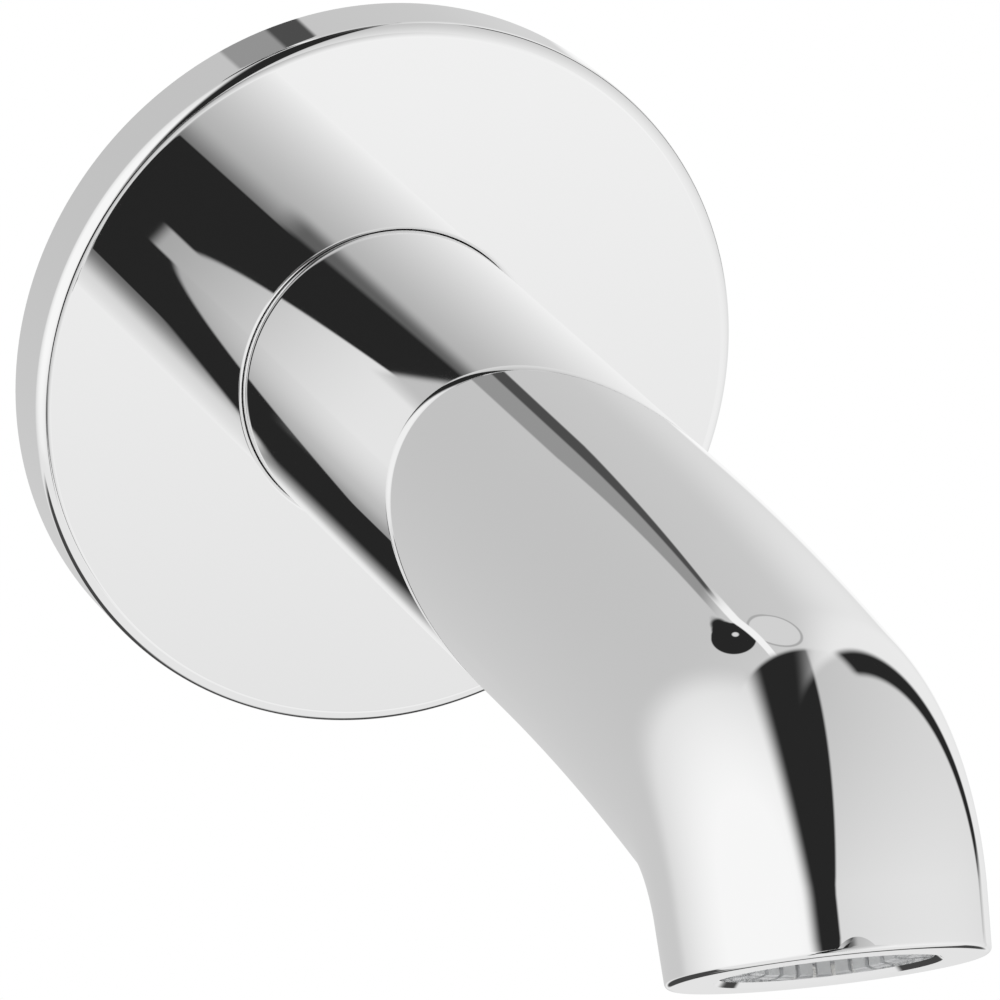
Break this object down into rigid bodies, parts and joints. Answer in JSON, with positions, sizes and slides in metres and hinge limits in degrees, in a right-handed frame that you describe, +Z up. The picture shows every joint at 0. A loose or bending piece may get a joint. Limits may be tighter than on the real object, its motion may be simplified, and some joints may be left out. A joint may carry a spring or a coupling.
{
  "type": "wall-mounted spout",
  "caption": "Round polished spout that stands straight out from a flat round wall flange and bends down near its end to a recessed aerator outlet.",
  "frame": {"origin": "centre of the gasket's back face, in the plane of the finished wall", "axes": "+Y into the wall along the inlet, +Z up; the spout stands out towards -Y and its outlet bends down towards -Z"},
  "size_m": [0.08, 0.168, 0.08],
  "materials": {
    "chrome": "polished plating",
    "brass": "turned",
    "black_rubber": "moulded, matte",
    "red_fibre": "pressed fibre",
    "grey_plastic": "moulded, satin",
    "white_plastic": "moulded, satin"
  },
  "bodies": {
    "root": {"spout_body": "chrome", "wall_flange": "chrome", "flange_o_ring": "black_rubber", "wall_gasket": "black_rubber", "inlet_nipple": "brass", "nipple_washer": "red_fibre", "aerator_washer": "black_rubber", "aerator_housing": "grey_plastic", "aerator_honeycomb": "white_plastic", "aerator_jet_plate": "grey_plastic", "aerator_strainer": "grey_plastic"}
  },
  "joints": []
}
